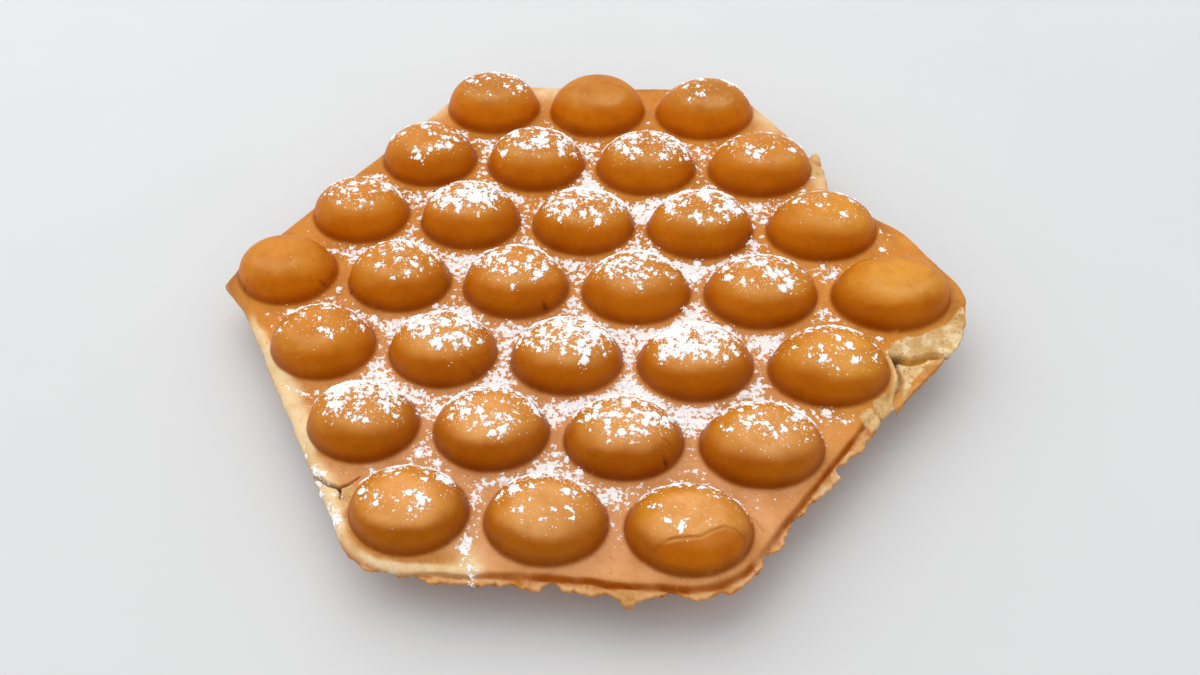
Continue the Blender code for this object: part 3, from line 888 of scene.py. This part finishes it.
def sheet_colour(xy, rest):
    """Sheet between the bubbles, with its browned rim and the cream lip at the front left."""
    x, y = xy.T
    s = rest["s"]
    near_edge = smooth(4.0, 0.6, s + 0.8 * layered(xy, 6.0, 34, 2))
    width = 2.6 + 4.4 * smooth(-18, -46, y) - 3.2 * smooth(-56, -64, y) + 2.0 * smooth(-64, -70, y)
    width = width - 2.6 * smooth(-76, -82, y)
    left = smooth(1.0, 0.45, (s + 0.7 * layered(xy, 5.0, 35, 2)) / width)
    left = left * smooth(-45, -52, x) * smooth(-14, -22, y)
    lip = smooth(3.0, 1.8, s + 0.4 * layered(xy, 4.0, 36, 2)) * smooth(-50, -42, x) * smooth(-12, -18, x)
    lip = lip * smooth(-82, -87, y) + spot(x, y, -17.5, -91.5, 3.4, 5.0, 12)
    behind = smooth(6.5, 4.5, s) * smooth(1.5, 2.6, s + 2.0 * smooth(-44, -50, x))
    patches = [(tone, 0.9 * spot(x, y, *place)) for tone, places in RIM_PATCHES for place in places]
    return blend(regional(x, y, WEBS, 45, -92) * (1 + 0.07 * layered(xy, 12.0, 33, 2))[:, None],
                 (RIM, (0.5 - 0.25 * smooth(-60, -85, y)) * near_edge),
                 (BROWN, 0.45 * peak(rest["rho"] - 1.015, 0.022)),
                 (RIM, 0.85 * smooth(-14, -22, x) * behind * smooth(-74, -82, y)),
                 (CREAM, left + lip), *patches)


def with_fin(colour, xy, rest, patch):
    """The sheet's colour with the torn fin beyond it and the crease between them, browned and painted dark as
    shade in its groove.
    """
    x, y = xy.T
    s = rest["s"]
    shown = np.clip(ragged_part(x, y) + 0.7 * smooth(-52, -44, x) * smooth(-84, -88, y), 0, 1)
    burnt = smooth(0.35, 0.75, layered(xy, 1.6, 38, 2))
    fin = blend(np.repeat(np.array(TAN)[None], len(x), 0),
                (CREAM, 0.75 * smooth(0.1, 0.7, patch) * smooth(44, 56, x)),
                (RIM, 0.8 * smooth(-0.3, -0.8, patch)),
                (BROWN, 0.6 * burnt + 0.5 * smooth(0.5, 0.1, rest["f"])))
    thick = 0.45 + 0.40 * smooth(-17, -8, x) - 0.15 * smooth(58, 66, x)
    # Painted shade along the crease, over its browning
    crease = shown * np.exp(-((s + 0.05) / thick) ** 4) * (0.9 + 0.3 * layered(xy, 5.0, 39, 2))
    return blend(colour, (fin, smooth(0.1, -0.5, s) * (0.35 + 0.65 * shown)),
                 (GROOVE_BROWN_AND_SHADE, crease * (0.7 + 0.3 * smooth(-17, -8, x))))


def paint(xy, rest, normals):
    """Colour of crust and crumb at each point."""
    x, y = xy.T
    patch = layered(xy, 3.5, 37, 3)
    colour = with_fin(sheet_colour(xy, rest), xy, rest, patch)
    colour = blend(colour, (bubble_colour(xy, rest, normals), smooth(1.025, 0.985, rest["rho"])))
    crumb = rest["crumb"]
    lump = rest["lump"] * (1 - smooth(-90, -92, y))
    drip = spot(x, y, 21.6, -98, 3.4, 3.6) * smooth(-0.5, -1.2, rest["s"])
    # Painted shade in the gap, turning gold further to the right
    gap_shade = HOLLOW_SHADE + (GOLD - HOLLOW_SHADE) * smooth(88, 93, x)[:, None]
    return blend(colour,
                 (CRUMB, np.maximum(crumb, lump) * (1 - 0.4 * smooth(0.3, 0.9, patch))),
                 (RIM, lump * 0.55 * smooth(0.1, -0.4, patch)),
                 (DRIP, drip * (0.7 + 0.5 * patch)),
                 (PASTE, crumb * smooth(-0.1, 0.6, layered(xy, 2.2, 40, 2))),
                 (RIM, 0.8 * rest["strip"]),
                 (GOLD, 0.7 * crumb * spot(x, y, 101.3, -13.4, 1.0, 2.2, -20)),
                 (gap_shade, rest["gap"]),
                 (BROWN, rest["fold"]),
                 # Painted shade in the pits and cracks
                 (HOLLOW_SHADE, 0.9 * np.maximum(rest["pit"] ** 1.5, rest["crack"])))


# Materials

class Finish:
    """A procedural material, with short names for the nodes that it is made of."""

    def __init__(self, name):
        self.material = bpy.data.materials.new(name)
        self.material.use_nodes = True
        self.tree = self.material.node_tree
        self.inputs = self.tree.nodes["Principled BSDF"].inputs
        self.coords = self.node("ShaderNodeTexCoord").outputs["Object"]

    def node(self, kind, **numbers):
        made = self.tree.nodes.new(kind)
        for name, number in numbers.items():
            made.inputs[name].default_value = number
        return made

    def plug(self, *pairs):
        """Sets each socket to a number or a colour, or links another node's output to it."""
        for socket, value in pairs:
            if isinstance(value, bpy.types.NodeSocket):
                self.tree.links.new(value, socket)
            elif isinstance(value, tuple):
                socket.default_value = (*value, 1.0)
            elif value is not None:
                socket.default_value = value

    def field(self, name, output="Fac"):
        made = self.node("ShaderNodeAttribute")
        made.attribute_name = name
        return made.outputs[output]

    def mix(self, factor, first, second, mode="MIX"):
        made = self.node("ShaderNodeMix")
        made.data_type = "RGBA"
        made.blend_type = mode
        self.plug((made.inputs[0], factor), (made.inputs[6], first), (made.inputs[7], second))
        return made.outputs[2]

    def maths(self, operation, first, second, clamp=False):
        made = self.node("ShaderNodeMath")
        made.operation = operation
        made.use_clamp = clamp
        self.plug((made.inputs[0], first), (made.inputs[1], second))
        return made.outputs[0]

    def times(self, first, second):
        return self.maths("MULTIPLY", first, second)

    def plus(self, first, second):
        return self.maths("ADD", first, second)

    def minus(self, first, second):
        return self.maths("SUBTRACT", first, second)

    def noise(self, scale, detail=3.0, roughness=0.55):
        made = self.node("ShaderNodeTexNoise", Scale=scale, Detail=detail, Roughness=roughness)
        self.plug((made.inputs["Vector"], self.coords))
        return made.outputs[0]

    def cells(self, scale):
        made = self.node("ShaderNodeTexVoronoi", Scale=scale, Randomness=1.0)
        self.plug((made.inputs["Vector"], self.coords))
        return made.outputs["Distance"]

    def ranged(self, value, low, high, to_low=0.0, to_high=1.0):
        made = self.node("ShaderNodeMapRange")
        made.interpolation_type = "SMOOTHSTEP"
        self.plug(*zip(made.inputs[:5], (value, low, high, to_low, to_high)))
        return made.outputs[0]

    def relief(self, height, strength, distance):
        made = self.node("ShaderNodeBump", Strength=strength, Distance=distance)
        self.plug((made.inputs["Height"], height), (self.inputs["Normal"], made.outputs[0]))


WHITE = (0.98, 0.97, 0.98)


def crust_material():
    use = Finish("baked_crust")
    tone = use.field("tone", "Color")
    crumb = use.field("crumb")
    dust = use.field("dust")
    broad = use.noise(120.0)
    patch = use.noise(420.0, 4.0, 0.6)
    fine = use.noise(1700.0, 3.0, 0.65)
    # Uneven browning, and painted shade in fine pores
    darker = use.mix(1.0, tone, (0.84, 0.74, 0.55), "MULTIPLY")
    colour = use.mix(use.ranged(broad, 0.40, 0.68, 0.0, 0.8), tone, darker)
    colour = use.mix(use.ranged(patch, 0.50, 0.72, 0.0, 0.55), colour, darker)
    colour = use.mix(use.ranged(fine, 0.50, 0.68, 0.0, 0.45), colour, darker)
    dots = use.times(use.ranged(use.cells(520.0), 0.16, 0.07), use.ranged(patch, 0.50, 0.62))
    colour = use.mix(use.times(dots, 0.55), colour, (0.20, 0.055, 0.006))
    # Open crumb, with painted shade in its holes
    holes = use.times(use.ranged(use.cells(900.0), 0.42, 0.12), crumb)
    holes = use.times(holes, use.ranged(patch, 0.38, 0.58))
    colour = use.mix(use.times(holes, 0.62), colour, (0.27, 0.115, 0.022))
    # Thin sugar film, broken up by grains
    clumps = use.times(use.noise(190.0, 2.0, 0.5), 0.25)
    specks = use.times(use.noise(700.0, 5.0, 0.66), 0.75)
    level = use.minus(use.plus(use.plus(clumps, specks), use.times(dust, 0.20)), 0.635)
    film = use.times(use.ranged(level, 0.0, 0.018), use.ranged(dust, 0.02, 0.12))
    colour = use.mix(use.times(film, 0.92), colour, WHITE)
    gloss = use.ranged(patch, 0.3, 0.7, 0.34, 0.46)
    gloss = use.maths("ADD", gloss, use.times(use.maths("MAXIMUM", film, crumb), 0.45), True)
    use.plug((use.inputs["Base Color"], colour), (use.inputs["Roughness"], gloss),
             (use.inputs["Specular IOR Level"], 0.14), (use.inputs["Specular Tint"], (1.0, 0.72, 0.35)))
    height = use.plus(use.times(patch, 0.7), use.times(fine, 0.30))
    height = use.minus(height, use.times(dots, 0.35))
    height = use.minus(height, use.times(holes, 1.2))
    height = use.plus(height, use.times(film, 0.6))
    use.relief(height, 0.35, 0.0004)
    return use.material


def sugar_material():
    use = Finish("powdered_sugar")
    grain = use.noise(3000.0, 2.0)
    colour = use.mix(grain, (0.94, 0.94, 0.95), (1.0, 1.0, 0.99))
    use.plug((use.inputs["Base Color"], colour), (use.inputs["Roughness"], 0.85))
    use.relief(grain, 0.3, 0.0001)
    return use.material


def floor_material():
    use = Finish("pale_floor")
    colour = use.mix(use.noise(9.0, 5.0, 0.6), (0.600, 0.606, 0.612), (0.650, 0.656, 0.662))
    use.plug((use.inputs["Base Color"], colour), (use.inputs["Roughness"], 0.8))
    return use.material


# Scattered sugar

def blob(seed, rings):
    """Points and faces of one rough lump of unit radius."""
    own = np.random.default_rng(seed)
    if rings == 0:
        points = np.array([(1, 0, 0), (-1, 0, 0), (0, 1, 0), (0, -1, 0), (0, 0, 1), (0, 0, -1)], float)
        points *= own.uniform(0.7, 1.25, (6, 1))
        faces = [(0, 2, 4), (2, 1, 4), (1, 3, 4), (3, 0, 4), (2, 0, 5), (1, 2, 5), (3, 1, 5), (0, 3, 5)]
        return points, np.array(faces)
    bm = bmesh.new()
    bmesh.ops.create_icosphere(bm, subdivisions=rings, radius=1.0)
    points = np.array([v.co[:] for v in bm.verts])
    faces = np.array([[v.index for v in f.verts] for f in bm.faces])
    bm.free()
    points = points * (1 + 0.42 * layered(points, 0.8, seed, 2))[:, None]
    return points, faces


def scattered(name, places, normals, sizes, flatness, rings, seed):
    shapes = [blob(seed + k, rings) for k in range(6)]
    own = np.random.default_rng(seed)
    all_points, all_faces = [], []
    count = 0
    which = own.integers(0, 6, len(places))
    spin = own.uniform(0, 2 * math.pi, len(places))
    stretch = own.uniform(0.75, 1.3, len(places))
    for k, (points, faces) in enumerate(shapes):
        chosen = np.nonzero(which == k)[0]
        if not len(chosen):
            continue
        n = normals[chosen]
        side = np.cross(n, np.array((0.3, 0.9, 0.1)))
        side /= np.linalg.norm(side, axis=1)[:, None]
        other = np.cross(n, side)
        c, s = np.cos(spin[chosen])[:, None], np.sin(spin[chosen])[:, None]
        ax = side * c + other * s
        ay = -side * s + other * c
        size = sizes[chosen][:, None, None]
        local = points[None] * size
        world = (ax[:, None, :] * local[..., 0:1] * stretch[chosen][:, None, None]
                 + ay[:, None, :] * local[..., 1:2] / stretch[chosen][:, None, None]
                 + n[:, None, :] * local[..., 2:3] * flatness)
        world = world + places[chosen][:, None, :]
        all_points.append(world.reshape(-1, 3))
        index = faces[None] + (np.arange(len(chosen)) * len(points))[:, None, None] + count
        all_faces.append(index.reshape(-1, 3))
        count += len(chosen) * len(points)
    return mesh_object(name, np.vstack(all_points), np.vstack(all_faces), rings > 0)


def surface_samples(points, faces, weights, count, seed):
    """Random places on the faces, more where the weight is high: place, normal."""
    own = np.random.default_rng(seed)
    a, b, c = points[faces[:, 0]], points[faces[:, 1]], points[faces[:, 2]]
    cross = np.cross(b - a, c - a)
    area = np.linalg.norm(cross, axis=1) / 2
    chance = area * weights[faces].mean(1)
    chance /= chance.sum()
    pick = own.choice(len(faces), count, p=chance)
    r1, r2 = own.random((2, count))
    flip = r1 + r2 > 1
    r1[flip], r2[flip] = 1 - r1[flip], 1 - r2[flip]
    place = a[pick] + (b - a)[pick] * r1[:, None] + (c - a)[pick] * r2[:, None]
    normal = cross[pick] / (np.linalg.norm(cross[pick], axis=1)[:, None] + 1e-12)
    return place, normal


def around(tree, centres, normals, spread, numbers, seed):
    """Places on the crust around each centre."""
    own = np.random.default_rng(seed)
    which = np.repeat(np.arange(len(centres)), numbers.astype(int))
    jump = own.normal(0, 1, (len(which), 3)) * spread[which][:, None]
    jump -= normals[which] * (jump * normals[which]).sum(1)[:, None]
    places, turned = [], []
    for target in centres[which] + jump:
        place, normal, _, _ = tree.find_nearest(Vector(target))
        if normal.z > 0.35:
            places.append(place[:])
            turned.append(normal[:])
    return np.array(places), np.array(turned)


# Putting it together

def build():
    xy, z, rest, faces = crust_arrays()
    world = to_world(xy, z)
    crust = mesh_object("crust", world, faces)
    normals = np.empty(len(world) * 3, np.float32)
    crust.data.vertex_normals.foreach_get("vector", normals)
    normals = normals.reshape(-1, 3)
    tree = BVHTree.FromPolygons([Vector(p) for p in world], [tuple(int(i) for i in f) for f in faces])
    dust = sugar_dust(xy, rest, normals, world, tree)
    add_field(crust.data, "tone", paint(xy, rest, normals))
    add_field(crust.data, "crumb", np.maximum(rest["crumb"], 0.8 * rest["lump"]))
    add_field(crust.data, "dust", dust)
    crust.data.materials.append(crust_material())
    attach(crust, "root")
    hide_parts("waffle")

    sugar = sugar_material()
    share = 1.0
    own = np.random.default_rng(77)
    on_tops = 1 + 2.6 * smooth(0.97, 0.9, rest["rho"])
    thick = np.clip(dust - 0.05, 0, 1) * on_tops
    heaps, heap_normals = surface_samples(world, faces, thick, int(2350 * share), 71)
    spread = np.clip(own.lognormal(-0.05, 0.45, len(heaps)), 0.35, 1.9) * MM
    flecks = around(tree, heaps, heap_normals, spread * 0.50, np.round(2 + 3.5 * (spread / MM) ** 2), 72)
    loose, loose_normals = surface_samples(world, faces, dust * on_tops, int(11000 * share), 73)
    grains = around(tree, heaps, heap_normals, spread, np.round(5 + 6 * spread / MM), 74)
    # Name, places, normals, sizes in millimetres, flatness, fineness, seed and the most that are kept
    kinds = (
        ("sugar_lumps", heaps, heap_normals, spread / MM * 0.62, 0.35, 2, 300, 2400),
        ("sugar_flecks", *flecks, own.uniform(0.22, 0.55, len(flecks[0])), 0.5, 1, 200, 9800),
        ("sugar_grains", np.vstack([grains[0], loose]), np.vstack([grains[1], loose_normals]),
         own.uniform(0.10, 0.22, len(grains[0]) + len(loose)), 0.8, 0, 100, 24800),
    )
    for name, place, normal, size, flat, rings, seed, most in kinds:
        if len(place) > most:
            keep = np.sort(own.permutation(len(place))[:most])
            place, normal, size = place[keep], normal[keep], size[keep]
        piece = scattered(name, place, normal, size * MM, flat, rings, seed)
        piece.data.materials.append(sugar)
        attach(piece, "root")
        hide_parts("waffle")
        print(name, len(place), len(piece.data.polygons))
    print("crust triangles", len(faces))


def stage():
    mesh = bpy.data.meshes.new("floor")
    half = 2.0
    corners = [(-half, -half, 0), (half, -half, 0), (half, half, 0), (-half, half, 0)]
    mesh.from_pydata(corners, [], [(0, 1, 2, 3)])
    floor = bpy.data.objects.new("floor", mesh)
    floor.data.materials.append(floor_material())
    bpy.context.scene.collection.objects.link(floor)

    light = bpy.data.lights.new("overhead", "AREA")
    light.shape = "RECTANGLE"
    light.size, light.size_y = 1.8, 1.5
    light.energy = 10.8
    lamp = bpy.data.objects.new("overhead", light)
    lamp.location = (-0.30, 0.50, 1.00)
    lamp.rotation_euler = (-lamp.location).to_track_quat("-Z", "Y").to_euler()
    bpy.context.scene.collection.objects.link(lamp)
    world = bpy.data.worlds.new("studio")
    bpy.context.scene.world = world
    world.use_nodes = True
    background = world.node_tree.nodes["Background"]
    background.inputs[0].default_value = (1.0, 1.0, 1.0, 1.0)
    background.inputs[1].default_value = 0.81


def camera():
    data = bpy.data.cameras.new("view")
    data.sensor_width = 36.0
    data.lens = 33.858
    data.shift_x = 0.05
    data.shift_y = 0.02875
    data.clip_start = 0.01
    right = Vector((0.992154, 0.111887, -0.055785))
    up = Vector((-0.054175, 0.786884, 0.614719))
    back = right.cross(up)
    place = Vector((0.028104, -0.219510, 0.244865))
    turned = Matrix((right, up, back)).transposed().to_4x4()
    turned.translation = place - MM * Vector((*MIDDLE, -(SHEET_HALF + LIFT)))
    view = bpy.data.objects.new("view", data)
    view.matrix_world = turned
    bpy.context.scene.collection.objects.link(view)
    bpy.context.scene.camera = view


camera()
stage()
build()
bpy.context.scene.view_settings.view_transform = "Standard"
